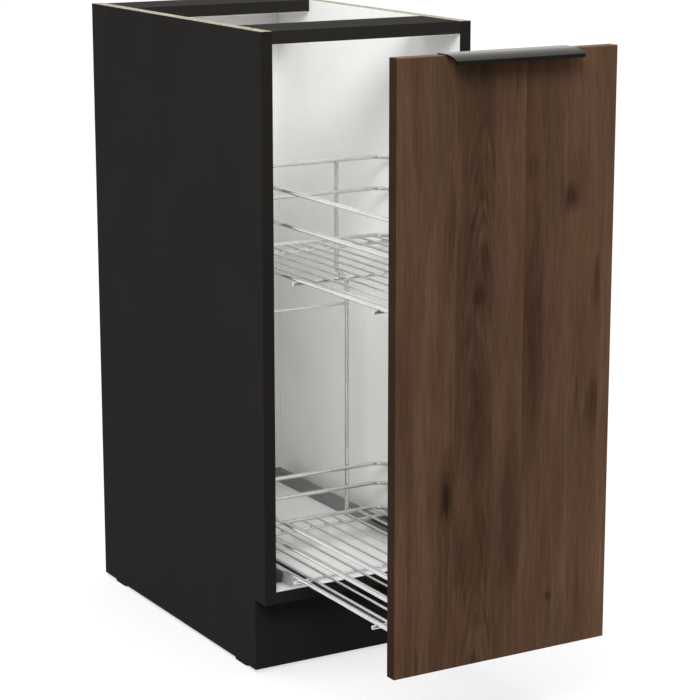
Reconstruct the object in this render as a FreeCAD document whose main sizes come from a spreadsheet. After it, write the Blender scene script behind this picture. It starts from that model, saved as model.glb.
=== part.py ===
"""Pull-out base cabinet: a two-tone board carcass with a wire-basket pull-out behind a wood-grain front.

X runs across the cabinet, Y from front to back and Z up from the floor, in millimetres. The part is
modelled as it stands in use with the pull-out drawn open. Inside this script lengths along Y are
measured from the front plane of the carcass, and place() moves them to the middle of the footprint.
"""
import FreeCAD, Part
import Sketcher
import math
import os
import re

doc = FreeCAD.newDocument("pull_out_base_cabinet")
sheet = doc.addObject("Spreadsheet::Sheet", "Sizes")

# Driving sizes: name, millimetres (or a count), what it measures
SIZES = (
    ("cab_width", 300, "carcass outside width"),
    ("cab_depth", 486, "carcass depth, front edge to rear edge"),
    ("cab_height", 820, "floor to top of carcass"),
    ("board", 16, "carcass board thickness"),
    ("notch_depth", 27, "toe notch depth, which is also the plinth setback"),
    ("notch_height", 94, "toe notch height above the foot of a side"),
    ("rail_width", 90, "top rail width"),
    ("back_thick", 3, "back panel thickness"),
    ("back_recess", 8, "rear edge of a side to the rear face of the back panel"),
    ("groove_depth", 6, "back panel groove depth"),
    ("groove_play", 0.3, "play of the back panel in its groove, each way"),
    ("screw_front", 39, "front edge to the front carcass screws"),
    ("screw_rear", 46, "rear edge to the rear carcass screws"),
    ("screw_neck", 7, "carcass screw neck diameter"),
    ("screw_shank", 5, "carcass screw shank diameter"),
    ("screw_length", 48, "carcass screw length under its cap"),
    ("cap_thick", 2, "cover cap thickness"),
    ("drill_play", 0.05, "radial play of a pin, screw or dowel in its hole"),
    ("dowel_dia", 8, "plinth dowel diameter"),
    ("dowel_length", 30, "plinth dowel length"),
    ("dowel_rise", 24, "plinth dowel distance from the plinth's long edges"),
    ("dowel_sink", 10, "plinth dowel depth in a side"),
    ("glide_height", 4, "glide height, which lifts the sides off the floor"),
    ("glide_length", 38, "glide length"),
    ("glide_width", 13, "glide width"),
    ("glide_pin", 4, "glide pin diameter"),
    ("glide_stem", 14, "glide pin length"),
    ("glide_front", 72, "front edge to the middle of the front glides"),
    ("glide_rear", 47, "rear edge to the middle of the rear glides"),
    ("runner_width", 26, "runner rail width on the floor"),
    ("runner_height", 17, "runner rail height"),
    ("runner_sheet", 1.2, "runner rail sheet thickness"),
    ("runner_lip", 11, "runner rail top flange width"),
    ("runner_front", 36, "front edge to the runner rail"),
    ("runner_rear", 35, "rear edge to the runner rail"),
    ("end_cap", 4, "runner end cap thickness"),
    ("cap_plug", 10, "runner end cap plug length"),
    ("wood_screw", 3.5, "wood screw shank diameter"),
    ("wood_screw_head", 7, "wood screw head diameter"),
    ("wood_screw_rise", 2, "wood screw head height"),
    ("floor_screw_bite", 12, "floor screw depth in the bottom panel"),
    ("floor_screw_end", 60, "runner end to its first floor screw"),
    ("housing_width", 16, "roller housing width"),
    ("housing_length", 44, "roller housing length"),
    ("housing_height", 15, "roller housing height"),
    ("housing_front", 8, "front edge to the roller housing"),
    ("housing_wall", 3, "roller housing side wall"),
    ("housing_end", 9, "roller housing solid ends"),
    ("roller_flange", 16, "front roller flange diameter"),
    ("roller_groove", 12, "front roller groove diameter"),
    ("roller_flat", 2.4, "front roller flat at the bottom of its groove"),
    ("roller_rim", 1, "front roller flange thickness"),
    ("roller_width", 9, "front roller width"),
    ("rear_roller", 14, "rear roller diameter"),
    ("rear_roller_width", 7.5, "rear roller width"),
    ("axle_dia", 4, "roller pin diameter"),
    ("run_gap", 0.3, "running gap of a roller"),
    ("side_gap", 1, "side gap of the rear carriage beside the rail flange"),
    ("stop_dia", 6, "travel stop dimple diameter"),
    ("stop_rise", 3.3, "travel stop dimple height"),
    ("pull_out", 291, "how far the pull-out is drawn from closed"),
    ("overtravel", 29, "how much further the pull-out can be drawn"),
    ("closed_gap", 2, "gap behind the closed front"),
    ("front_reveal", 1.5, "front set in from each side of the carcass"),
    ("front_lift", 3, "underside of the bottom panel up to the foot of the front"),
    ("front_board", 16, "front thickness"),
    ("front_drop", 4, "top of the carcass down to the top of the front"),
    ("front_round", 1, "rounding of the front's face edges"),
    ("handle_length", 172, "edge handle length"),
    ("handle_reach", 24, "edge handle reach before the front's face"),
    ("handle_curve", 48, "edge handle radius of the arched grip, on top"),
    ("handle_nose", 3.6, "edge handle turned-down nose height"),
    ("handle_leg", 32, "edge handle leg behind the front"),
    ("handle_sheet", 1.6, "edge handle sheet thickness"),
    ("handle_bend", 2.2, "edge handle outer bend radius at the back"),
    ("handle_nose_bend", 1.4, "edge handle outer bend radius at the nose"),
    ("handle_screw", 3, "handle screw shank diameter"),
    ("handle_screw_head", 5.6, "handle screw head diameter"),
    ("handle_screw_bite", 12, "handle screw depth in the front"),
    ("handle_screw_inset", 28, "handle end to its first screw"),
    ("handle_screw_drop", 20, "top of the front down to the handle screws"),
    ("bumper_dia", 8, "bumper diameter"),
    ("bumper_play", 0.1, "gap left by a bumper when closed"),
    ("bumper_inset", 40, "bumper distance from the front's top and bottom"),
    ("basket_gap", 8, "inside of a carcass side to the rim centre"),
    ("basket_reach", 464, "back of the front to the rear rim centre"),
    ("basket_corner", 20, "rim corner radius at the wire centre"),
    ("basket_pitch", 380, "lower basket floor to upper basket floor"),
    ("rim_dia", 5.5, "rim wire diameter"),
    ("floor_dia", 3, "floor wire diameter"),
    ("cross_dia", 5, "cross wire diameter"),
    ("bar_dia", 6, "runner bar diameter"),
    ("leg_dia", 6, "rear leg diameter"),
    ("tie_dia", 4, "rear tie bar diameter"),
    ("bar_height", 22, "carcass floor to the top of the runner bars"),
    ("lower_middle", 35, "lower basket bottom rim to middle rim"),
    ("lower_top", 62.5, "lower basket bottom rim to top rim"),
    ("upper_middle", 63, "upper basket bottom rim to middle rim"),
    ("upper_top", 105, "upper basket bottom rim to top rim"),
    ("floor_count", 11, "floor wires in a basket"),
    ("floor_inset", 15, "rim centre to the first floor wire"),
    ("cross_count", 3, "cross wires in a basket"),
    ("cross_front", 61, "back of the front to the first cross wire"),
    ("cross_pitch", 189, "cross wire pitch"),
    ("cross_stub", 5.5, "cross wire end past the rim centre"),
    ("leg_spacing", 146, "rear legs at the lower basket, centre to centre"),
    ("leg_jog", 16, "inward step of a rear leg under the upper basket"),
    ("leg_bend", 7, "rear leg bend radius"),
    ("leg_drop", 39, "upper basket floor down to the top of the step"),
    ("tie_rise", 290, "lower basket floor up to the rear tie bar"),
    ("strip_spacing", 150, "front strips, centre to centre"),
    ("strip_width", 20, "front strip width"),
    ("strip_thick", 3, "front strip thickness"),
    ("strip_margin", 8, "front strip end past the outer rims"),
    ("strip_screw_bite", 12, "front strip screw depth in the front"),
    ("carriage_length", 38, "rear carriage length"),
    ("carriage_sheet", 1.5, "rear carriage sheet thickness"),
    ("carriage_flange", 10, "rear carriage top flange width"),
)
NAMES = {name for name, _, _ in SIZES}
for row, (name, size, note) in enumerate(SIZES, 1):
    sheet.set(f"A{row}", note)
    sheet.set(f"B{row}", str(size))
    sheet.setAlias(f"B{row}", name)
doc.recompute()

# Levels and planes that several pieces share, as sums of the driving sizes
FRONT_PLANE = "((pull_out + closed_gap + front_board + handle_reach - cab_depth) / 2)"
INNER = "(cab_width / 2 - board)"
FLOOR_UNDER = "(glide_height + notch_height)"
FLOOR_TOP = f"({FLOOR_UNDER} + board)"
RAIL_UNDER = "(cab_height - board)"
BACK_FACE = "(cab_depth - back_recess - back_thick)"
RUNNER_INNER = f"({INNER} - runner_width)"
RUNNER_LENGTH = "(cab_depth - runner_front - runner_rear)"
BAR_X = f"({RUNNER_INNER} - housing_width / 2)"
BAR_Z = f"({FLOOR_TOP} + bar_height - bar_dia / 2)"
LOWER_RIM = f"({FLOOR_TOP} + bar_height + cross_dia + rim_dia / 2)"
UPPER_RIM = f"({LOWER_RIM} + basket_pitch)"
DOOR_BACK = "(-(pull_out + closed_gap))"
DOOR_TOP = "(cab_height - front_drop)"
DOOR_LOW = f"({FLOOR_UNDER} + front_lift)"
DOOR_X = "(cab_width / 2 - front_reveal)"
RIM_X = f"({INNER} - basket_gap)"
RIM_FRONT = f"({DOOR_BACK} + strip_thick + rim_dia / 2)"
RIM_REAR = f"({DOOR_BACK} + basket_reach)"
LEG_Y = f"({RIM_REAR} + rim_dia / 2 + leg_dia / 2)"
ROLLER_Y = "(housing_front + housing_length / 2)"
ROLLER_Z = f"({FLOOR_TOP} + bar_height - bar_dia - run_gap - roller_groove / 2)"
CARRIAGE_X = f"({RUNNER_INNER} + runner_lip + side_gap)"
CARRIAGE_Y = f"({DOOR_BACK} + cross_front + (cross_count - 1) * cross_pitch)"
REAR_ROLLER_Z = f"({FLOOR_TOP} + runner_sheet + run_gap + rear_roller / 2)"
REAR_ROLLER_X = f"(({RUNNER_INNER} + runner_sheet + {CARRIAGE_X}) / 2)"
SIDES = (("left", -1), ("right", 1))

# Turns that lay a Z-axis solid along X or along Y
ALONG_X = FreeCAD.Rotation(FreeCAD.Vector(0, 1, 0), 90)
ALONG_Y = FreeCAD.Rotation(FreeCAD.Vector(1, 0, 0), -90)
UPRIGHT = FreeCAD.Rotation()

pieces = []


def ex(text):
    """An expression with each driving size written as its cell in the sheet."""
    return re.sub(r"[a-z][a-z_]+", lambda m: "Sizes." + m[0] if m[0] in NAMES else m[0], str(text))


def value(text):
    """The number that an expression of driving sizes gives."""
    return float(sheet.evalExpression(ex(text)))


def place(obj, x="0", y="0", z="0", turn=UPRIGHT):
    """Puts an object at a point, with Y counted from the front plane of the carcass."""
    obj.Placement = FreeCAD.Placement(FreeCAD.Vector(), turn)
    obj.setExpression("Placement.Base.x", ex(x))
    obj.setExpression("Placement.Base.y", ex(f"{FRONT_PLANE} + {y}"))
    obj.setExpression("Placement.Base.z", ex(z))
    return obj


def made(obj, name=None):
    """Marks an object as a finished sub-part when it has a name, and hands it back."""
    if name:
        obj.Label = name
        pieces.append(obj)
    return obj


def box(x, y, z, dx, dy, dz, name=None):
    """A block from its lowest corner and its three lengths."""
    obj = doc.addObject("Part::Box", "Block")
    for prop, length in (("Length", dx), ("Width", dy), ("Height", dz)):
        obj.setExpression(prop, ex(length))
    return made(place(obj, x, y, z), name)


def rod(x, y, z, dia, length, turn=UPRIGHT, name=None):
    """A round rod from one end, along Z unless it is turned."""
    obj = doc.addObject("Part::Cylinder", "Rod")
    obj.setExpression("Radius", ex(f"({dia}) / 2"))
    obj.setExpression("Height", ex(length))
    return made(place(obj, x, y, z, turn), name)


def cone(x, y, z, low_dia, top_dia, length, turn=UPRIGHT):
    """A tapered rod from its first end."""
    obj = doc.addObject("Part::Cone", "Taper")
    obj.setExpression("Radius1", ex(f"({low_dia}) / 2"))
    obj.setExpression("Radius2", ex(f"({top_dia}) / 2"))
    obj.setExpression("Height", ex(length))
    return place(obj, x, y, z, turn)


def fuse(shapes, name=None):
    """One solid from several that meet."""
    obj = doc.addObject("Part::MultiFuse", "Joined")
    obj.Shapes = shapes
    return made(obj, name)


def group(shapes, name):
    """Several like solids that stay separate and share one node."""
    obj = doc.addObject("Part::Compound", "Set")
    obj.Links = shapes
    return made(obj, name)


def cut(base, tools, name=None):
    """A solid with holes, grooves and notches taken out of it."""
    obj = doc.addObject("Part::Cut", "Cut")
    obj.Base = base
    obj.Tool = tools[0] if len(tools) == 1 else fuse(tools)
    return made(obj, name)


def plane(body, role):
    """One of a body's own origin planes."""
    return next(f for f in body.Origin.OriginFeatures if f.Role == role)


def pin_point(sketch, geo, end, x, y):
    """Ties one end of a sketch line to coordinates given as expressions."""
    for kind, text in (("DistanceX", x), ("DistanceY", y)):
        row = sketch.addConstraint(Sketcher.Constraint(kind, -1, 1, geo, end, value(text)))
        sketch.setExpression(f"Constraints[{row}]", ex(text))


def outline(body, role, points):
    """A closed sketch through points given as expressions.

    A side is straight, or an arc where its first point goes on with the arc's radius and hub.
    """
    sketch = body.newObject("Sketcher::SketchObject", "Outline")
    sketch.AttachmentSupport = [(plane(body, role), "")]
    sketch.MapMode = "FlatFace"
    spots = [FreeCAD.Vector(value(x), value(y), 0) for x, y, *_ in points]
    ends = []
    for i, (_, _, *arc) in enumerate(points):
        side = (spots[i], spots[(i + 1) % len(spots)])
        forward = True
        if arc:
            hub = FreeCAD.Vector(value(arc[1]), value(arc[2]), 0)
            swing = [math.atan2(spot.y - hub.y, spot.x - hub.x) for spot in side]
            forward = swing[0] < swing[1]
            ring_line = Part.Circle(hub, FreeCAD.Vector(0, 0, 1), value(arc[0]))
            sketch.addGeometry(Part.ArcOfCircle(ring_line, min(swing), max(swing)))
        else:
            sketch.addGeometry(Part.LineSegment(*side))
        ends.append((1, 2) if forward else (2, 1))
    for i, (x, y, *arc) in enumerate(points):
        after = (i + 1) % len(points)
        sketch.addConstraint(Sketcher.Constraint("Coincident", i, ends[i][1], after, ends[after][0]))
        pin_point(sketch, i, ends[i][0], x, y)
        if arc:
            row = sketch.addConstraint(Sketcher.Constraint("Radius", i, value(arc[0])))
            sketch.setExpression(f"Constraints[{row}]", ex(arc[0]))
    return sketch


def extrusion(role, points, length, x="0", y="0", z="0"):
    """A body padded from an outline: along X from the YZ plane, or along Y from the XZ plane."""
    body = doc.addObject("PartDesign::Body", "Body")
    sketch = outline(body, role, points)
    pad = body.newObject("PartDesign::Pad", "Pad")
    pad.Profile = sketch
    pad.Reversed = role == "XZ_Plane"
    pad.setExpression("Length", ex(length))
    return place(body, x, y, z)


def turned(points, x, y, z, turn=UPRIGHT, name=None):
    """A body spun about its own Z axis from (radius, height) points, then laid along an axis."""
    body = doc.addObject("PartDesign::Body", "Body")
    sketch = outline(body, "XZ_Plane", points)
    spin = body.newObject("PartDesign::Revolution", "Revolution")
    spin.Profile = sketch
    spin.ReferenceAxis = (sketch, ["V_Axis"])
    spin.Angle = 360
    return made(place(body, x, y, z, turn), name)


def rounded(body, radius, picks):
    """Fillets the edges of a body whose middle passes the test."""
    doc.recompute()
    base = body.Tip
    chosen = [f"Edge{i}" for i, edge in enumerate(base.Shape.Edges, 1) if picks(edge)]
    fillet = body.newObject("PartDesign::Fillet", "Fillet")
    fillet.Base = (base, chosen)
    fillet.setExpression("Radius", ex(radius))
    body.Tip = fillet
    return body


# Where the carcass screws sit: their distance from the front, and the board that they hold
SCREW_SPOTS = (
    ("screw_front", f"{FLOOR_UNDER} + board / 2"),
    ("cab_depth - screw_rear", f"{FLOOR_UNDER} + board / 2"),
    ("screw_front", f"{RAIL_UNDER} + board / 2"),
    ("cab_depth - screw_rear", f"{RAIL_UNDER} + board / 2"),
)
DOWEL_SPOTS = ("glide_height + dowel_rise", f"{FLOOR_UNDER} - dowel_rise")
GLIDE_SPOTS = ("glide_front", "cab_depth - glide_rear")
DOWEL_Y = "notch_depth + board / 2"
PILOT = "screw_shank + 2 * drill_play"
BITE = "(screw_length - board + cap_thick)"


def end_holes(spots):
    """Pilot holes for the carcass screws in both ends of a cross board."""
    holes = []
    for y, z in spots:
        holes.append(rod(f"-{INNER} - board", y, z, PILOT, f"board + {BITE} + drill_play", ALONG_X))
        holes.append(rod(f"{INNER} - {BITE} - drill_play", y, z, PILOT, f"board + {BITE}", ALONG_X))
    return holes


# Carcass sides with toe notch, back groove and drilled holes
SIDE_OUTLINE = (
    ("notch_depth", "glide_height"),
    ("cab_depth", "glide_height"),
    ("cab_depth", "cab_height"),
    ("0", "cab_height"),
    ("0", FLOOR_UNDER),
    ("notch_depth", FLOOR_UNDER),
)
for side, sign in SIDES:
    outer = "-cab_width / 2" if sign < 0 else INNER
    blank = extrusion("YZ_Plane", SIDE_OUTLINE, "board", x=outer)
    groove_x = f"-{INNER} - groove_depth" if sign < 0 else f"{INNER} - board"
    tools = [
        box(
            groove_x, f"{BACK_FACE} - groove_play", "0",
            "board + groove_depth", "back_thick + 2 * groove_play", "cab_height + board",
        )
    ]
    for y, z in SCREW_SPOTS:
        tools.append(rod(f"{outer} - board", y, z, "screw_neck + 2 * drill_play", "3 * board", ALONG_X))
    dowel_x = f"-{INNER} - dowel_sink - drill_play" if sign < 0 else f"{INNER} - board"
    for z in DOWEL_SPOTS:
        dowel_hole = "dowel_dia + 2 * drill_play"
        tools.append(rod(dowel_x, DOWEL_Y, z, dowel_hole, "board + dowel_sink + drill_play", ALONG_X))
    for y in GLIDE_SPOTS:
        glide_hole = "glide_pin + 2 * drill_play"
        tools.append(rod(f"{outer} + board / 2", y, "0", glide_hole, "glide_height + glide_stem + drill_play"))
    cut(blank, tools, f"{side}_side_panel")

# Cross boards, plinth and back
INNER_WIDTH = "(cab_width - 2 * board)"
floor_holes = []
FLOOR_SCREW_X = f"({CARRIAGE_X} + carriage_sheet + {INNER} - runner_sheet) / 2"
FLOOR_SCREW_SPOTS = (
    "runner_front + floor_screw_end",
    f"runner_front + {RUNNER_LENGTH} / 2",
    "cab_depth - runner_rear - floor_screw_end",
)
HOUSING_SCREW_SPOTS = (
    "housing_front + housing_end / 2",
    "housing_front + housing_length - housing_end / 2",
)
for _, sign in SIDES:
    for y in FLOOR_SCREW_SPOTS:
        floor_holes.append((f"{sign} * {FLOOR_SCREW_X}", y))
    for y in HOUSING_SCREW_SPOTS:
        floor_holes.append((f"{sign} * {BAR_X}", y))
floor_tools = [
    rod(x, y, f"{FLOOR_TOP} - floor_screw_bite - drill_play", "wood_screw + 2 * drill_play", "board")
    for x, y in floor_holes
]
bottom_blank = box(f"-{INNER}", "0", FLOOR_UNDER, INNER_WIDTH, BACK_FACE, "board")
cut(bottom_blank, end_holes(SCREW_SPOTS[:2]) + floor_tools, "bottom_panel")
front_rail_blank = box(f"-{INNER}", "0", RAIL_UNDER, INNER_WIDTH, "rail_width", "board")
cut(front_rail_blank, end_holes(SCREW_SPOTS[2:3]), "front_top_rail")
rear_rail_blank = box(f"-{INNER}", f"{BACK_FACE} - rail_width", RAIL_UNDER, INNER_WIDTH, "rail_width", "board")
cut(rear_rail_blank, end_holes(SCREW_SPOTS[3:]), "rear_top_rail")
back_half = f"({INNER} + groove_depth - groove_play)"
box(
    f"-{back_half}", BACK_FACE, FLOOR_UNDER,
    f"2 * {back_half}", "back_thick", f"cab_height - {FLOOR_UNDER}", "back_panel",
)
plinth_blank = box(f"-{INNER}", "notch_depth", "glide_height", INNER_WIDTH, "board", "notch_height")
plinth_tools = []
dowels = []
for _, sign in SIDES:
    hole_length = "dowel_length - dowel_sink + drill_play"
    hole_x = f"-{INNER} - board" if sign < 0 else f"{INNER} - ({hole_length})"
    dowel_x = f"-{INNER} - dowel_sink" if sign < 0 else f"{INNER} + dowel_sink - dowel_length"
    for z in DOWEL_SPOTS:
        plinth_tools.append(
            rod(hole_x, DOWEL_Y, z, "dowel_dia + 2 * drill_play", f"board + {hole_length}", ALONG_X)
        )
        dowels.append(rod(dowel_x, DOWEL_Y, z, "dowel_dia", "dowel_length", ALONG_X))
cut(plinth_blank, plinth_tools, "plinth_board")
group(dowels, "plinth_dowels")

# Carcass screws under flush cover caps
screws = []
caps = []
for _, sign in SIDES:
    for y, z in SCREW_SPOTS:
        neck = "(board - cap_thick)"
        face = "cab_width / 2"
        neck_x = f"-{face} + cap_thick" if sign < 0 else INNER
        shank_x = f"-{INNER} - drill_play" if sign < 0 else f"{INNER} + {neck} - screw_length"
        cap_x = f"-{face}" if sign < 0 else f"{face} - cap_thick"
        screws.append(
            fuse([
                rod(neck_x, y, z, "screw_neck", neck, ALONG_X),
                rod(shank_x, y, z, "screw_shank", f"screw_length - {neck} + drill_play", ALONG_X),
            ])
        )
        caps.append(rod(cap_x, y, z, "screw_neck", "cap_thick", ALONG_X))
group(screws, "carcass_screws")
group(caps, "screw_caps")

# Glides: a slab with round ends, and a pin up into the side
glides = []
for _, sign in SIDES:
    middle = f"{sign} * (cab_width - board) / 2"
    for y in GLIDE_SPOTS:
        straight = "(glide_length - glide_width)"
        glides.append(
            fuse([
                box(
                    f"{middle} - glide_width / 2", f"{y} - {straight} / 2", "0",
                    "glide_width", straight, "glide_height",
                ),
                rod(middle, f"{y} - {straight} / 2", "0", "glide_width", "glide_height"),
                rod(middle, f"{y} + {straight} / 2", "0", "glide_width", "glide_height"),
                rod(middle, y, "0", "glide_pin", "glide_height + glide_stem"),
            ])
        )
group(glides, "floor_glides")

# Runner rails: a channel on the floor, closed towards the middle and open above beside the wall
for side, sign in SIDES:
    rail_points = (
        (RUNNER_INNER, FLOOR_TOP),
        (INNER, FLOOR_TOP),
        (INNER, f"{FLOOR_TOP} + runner_sheet"),
        (f"{RUNNER_INNER} + runner_sheet", f"{FLOOR_TOP} + runner_sheet"),
        (f"{RUNNER_INNER} + runner_sheet", f"{FLOOR_TOP} + runner_height - runner_sheet"),
        (f"{RUNNER_INNER} + runner_lip", f"{FLOOR_TOP} + runner_height - runner_sheet"),
        (f"{RUNNER_INNER} + runner_lip", f"{FLOOR_TOP} + runner_height"),
        (RUNNER_INNER, f"{FLOOR_TOP} + runner_height"),
    )
    points = [(f"{sign} * ({x})", z) for x, z in rail_points]
    channel = extrusion("XZ_Plane", points, RUNNER_LENGTH, y="runner_front")
    stop_y = f"{CARRIAGE_Y} - overtravel - rear_roller / 2 - stop_dia / 2 - run_gap"
    stop_x = f"{RUNNER_INNER}" if sign > 0 else f"-{RUNNER_INNER} - runner_sheet - stop_rise"
    dimple = rod(stop_x, stop_y, REAR_ROLLER_Z, "stop_dia", "runner_sheet + stop_rise", ALONG_X)
    holes = [
        rod(f"{sign} * {FLOOR_SCREW_X}", y, FLOOR_TOP, "wood_screw + 2 * drill_play", "runner_height")
        for y in FLOOR_SCREW_SPOTS
    ]
    cut(fuse([channel, dimple]), holes, f"{side}_runner_rail")

rail_screws = []
end_caps = []
for _, sign in SIDES:
    head_z = f"{FLOOR_TOP} + runner_sheet"
    for y in FLOOR_SCREW_SPOTS:
        x = f"{sign} * {FLOOR_SCREW_X}"
        rail_screws.append(
            fuse([
                rod(x, y, head_z, "wood_screw_head", "wood_screw_rise"),
                rod(x, y, f"{FLOOR_TOP} - floor_screw_bite", "wood_screw", "floor_screw_bite + runner_sheet"),
            ])
        )
    cap_x = RUNNER_INNER if sign > 0 else f"-{INNER}"
    plug_wide = "(runner_lip - runner_sheet - 2 * drill_play)"
    plug_low = "(runner_sheet + drill_play)"
    plug_x = (
        f"{RUNNER_INNER} + {plug_low}" if sign > 0 else f"-{RUNNER_INNER} - {plug_low} - {plug_wide}"
    )
    end_caps.append(
        fuse([
            box(
                cap_x, "runner_front - end_cap", FLOOR_TOP,
                "runner_width", "end_cap", "runner_height",
            ),
            box(
                plug_x, "runner_front - end_cap", f"{FLOOR_TOP} + {plug_low}",
                plug_wide, "end_cap + cap_plug", f"runner_height - 2 * {plug_low}",
            ),
        ])
    )
group(rail_screws, "runner_screws")
group(end_caps, "runner_end_caps")

# Roller housings beside the front ends of the rails, with grooved rollers on pins
housing_screws = []
front_pins = []
for side, sign in SIDES:
    housing_x = f"{sign} * {BAR_X} - housing_width / 2"
    shell = box(
        housing_x, "housing_front", FLOOR_TOP, "housing_width", "housing_length", "housing_height"
    )
    pocket = box(
        f"{housing_x} + housing_wall", "housing_front + housing_end", f"{FLOOR_TOP} + runner_sheet",
        "housing_width - 2 * housing_wall", "housing_length - 2 * housing_end", "housing_height",
    )
    drill = rod(housing_x, ROLLER_Y, ROLLER_Z, "axle_dia + 2 * drill_play", "housing_width", ALONG_X)
    tools = [pocket, drill]
    for y in HOUSING_SCREW_SPOTS:
        x = f"{sign} * {BAR_X}"
        top = f"{FLOOR_TOP} + housing_height"
        sink = "(wood_screw_head - wood_screw) / 2"
        play = "2 * drill_play"
        tools.append(rod(x, y, FLOOR_TOP, f"wood_screw + {play}", "housing_height"))
        tools.append(
            cone(x, y, f"{top} - {sink}", f"wood_screw + {play}", f"wood_screw_head + {play}", sink)
        )
        housing_screws.append(
            fuse([
                rod(
                    x, y, f"{FLOOR_TOP} - floor_screw_bite",
                    "wood_screw", f"floor_screw_bite + housing_height - {sink}",
                ),
                cone(x, y, f"{top} - {sink}", "wood_screw", "wood_screw_head", sink),
            ])
        )
    cut(shell, tools, f"{side}_roller_housing")
    front_pins.append(rod(housing_x, ROLLER_Y, ROLLER_Z, "axle_dia", "housing_width", ALONG_X))
    bore = "axle_dia / 2 + drill_play"
    turned(
        (
            (bore, "-roller_width / 2"),
            ("roller_flange / 2", "-roller_width / 2"),
            ("roller_flange / 2", "-roller_width / 2 + roller_rim"),
            ("roller_groove / 2", "-roller_flat / 2"),
            ("roller_groove / 2", "roller_flat / 2"),
            ("roller_flange / 2", "roller_width / 2 - roller_rim"),
            ("roller_flange / 2", "roller_width / 2"),
            (bore, "roller_width / 2"),
        ),
        f"{sign} * {BAR_X}", ROLLER_Y, ROLLER_Z, ALONG_X, f"{side}_front_roller",
    )
group(housing_screws, "housing_screws")
group(front_pins, "front_roller_pins")

# Rear carriages: an angle hung from the rear cross wire, with a roller inside the rail
rear_pins = []
for side, sign in SIDES:
    plate = (
        (CARRIAGE_X, f"{REAR_ROLLER_Z} - axle_dia"),
        (f"{CARRIAGE_X} + carriage_sheet", f"{REAR_ROLLER_Z} - axle_dia"),
        (f"{CARRIAGE_X} + carriage_sheet", f"{FLOOR_TOP} + bar_height - carriage_sheet"),
        (f"{CARRIAGE_X} + carriage_flange", f"{FLOOR_TOP} + bar_height - carriage_sheet"),
        (f"{CARRIAGE_X} + carriage_flange", f"{FLOOR_TOP} + bar_height"),
        (CARRIAGE_X, f"{FLOOR_TOP} + bar_height"),
    )
    points = [(f"{sign} * ({x})", z) for x, z in plate]
    angle = extrusion("XZ_Plane", points, "carriage_length", y=f"{CARRIAGE_Y} - carriage_length / 2")
    hole_x = f"{sign} * ({CARRIAGE_X} + carriage_sheet / 2) - carriage_sheet"
    hole = rod(hole_x, CARRIAGE_Y, REAR_ROLLER_Z, "axle_dia + 2 * drill_play", "2 * carriage_sheet", ALONG_X)
    cut(angle, [hole], f"{side}_rear_carriage")
    pin_reach = f"({CARRIAGE_X} + carriage_sheet - {REAR_ROLLER_X} + rear_roller_width / 2)"
    pin_x = (
        f"{REAR_ROLLER_X} - rear_roller_width / 2" if sign > 0 else f"-{CARRIAGE_X} - carriage_sheet"
    )
    rear_pins.append(rod(pin_x, CARRIAGE_Y, REAR_ROLLER_Z, "axle_dia", pin_reach, ALONG_X))
    bore = "axle_dia / 2 + drill_play"
    turned(
        (
            (bore, "-rear_roller_width / 2"),
            ("rear_roller / 2", "-rear_roller_width / 2"),
            ("rear_roller / 2", "rear_roller_width / 2"),
            (bore, "rear_roller_width / 2"),
        ),
        f"{sign} * {REAR_ROLLER_X}", CARRIAGE_Y, REAR_ROLLER_Z, ALONG_X, f"{side}_rear_roller",
    )
group(rear_pins, "rear_roller_pins")


# Wire baskets
def rim(z, name):
    """A closed wire loop: four straight runs and four rounded corners."""
    along = f"{RIM_REAR} - {RIM_FRONT} - 2 * basket_corner"
    across = f"2 * {RIM_X} - 2 * basket_corner"
    left = f"-{RIM_X} + basket_corner"
    right = f"{RIM_X} - basket_corner"
    near = f"{RIM_FRONT} + basket_corner"
    far = f"{RIM_REAR} - basket_corner"
    runs = [
        rod(f"-{RIM_X}", near, z, "rim_dia", along, ALONG_Y),
        rod(RIM_X, near, z, "rim_dia", along, ALONG_Y),
        rod(left, RIM_FRONT, z, "rim_dia", across, ALONG_X),
        rod(left, RIM_REAR, z, "rim_dia", across, ALONG_X),
    ]
    for quarter, (x, y) in enumerate(((right, far), (left, far), (left, near), (right, near))):
        corner = doc.addObject("Part::Torus", "Corner")
        corner.setExpression("Radius1", ex("basket_corner"))
        corner.setExpression("Radius2", ex("rim_dia / 2"))
        corner.Angle3 = 90
        place(corner, x, y, z, FreeCAD.Rotation(FreeCAD.Vector(0, 0, 1), 90 * quarter))
        runs.append(corner)
    fuse(runs, name)


def basket(name, base, middle, top):
    """Three rims, floor wires along Y, and the cross wires under them along X."""
    rim(base, f"{name}_bottom_rim")
    rim(f"{base} + {middle}", f"{name}_middle_rim")
    rim(f"{base} + {top}", f"{name}_top_rim")
    floor_z = f"{base} - rim_dia / 2 + floor_dia / 2"
    step = f"(2 * {RIM_X} - 2 * floor_inset) / (floor_count - 1)"
    count = round(value("floor_count"))
    wires = []
    for i in range(count):
        # The outermost wires end sooner, where the rim turns its corner
        past = "max(0; basket_corner - floor_inset + floor_dia / 2)" if i in (0, count - 1) else "0"
        setback = f"(basket_corner - sqrt((basket_corner - rim_dia / 2) ^ 2 - ({past}) ^ 2))"
        start = f"{RIM_FRONT} + {setback}"
        length = f"{RIM_REAR} - {RIM_FRONT} - 2 * {setback}"
        x = f"-{RIM_X} + floor_inset + {i} * {step}"
        wires.append(rod(x, start, floor_z, "floor_dia", length, ALONG_Y))
    group(wires, f"{name}_floor_wires")
    cross_z = f"{base} - rim_dia / 2 - cross_dia / 2"
    crosses = [
        rod(
            f"-{RIM_X} - cross_stub", f"{DOOR_BACK} + cross_front + {i} * cross_pitch", cross_z,
            "cross_dia", f"2 * {RIM_X} + 2 * cross_stub", ALONG_X,
        )
        for i in range(round(value("cross_count")))
    ]
    group(crosses, f"{name}_cross_wires")


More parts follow.
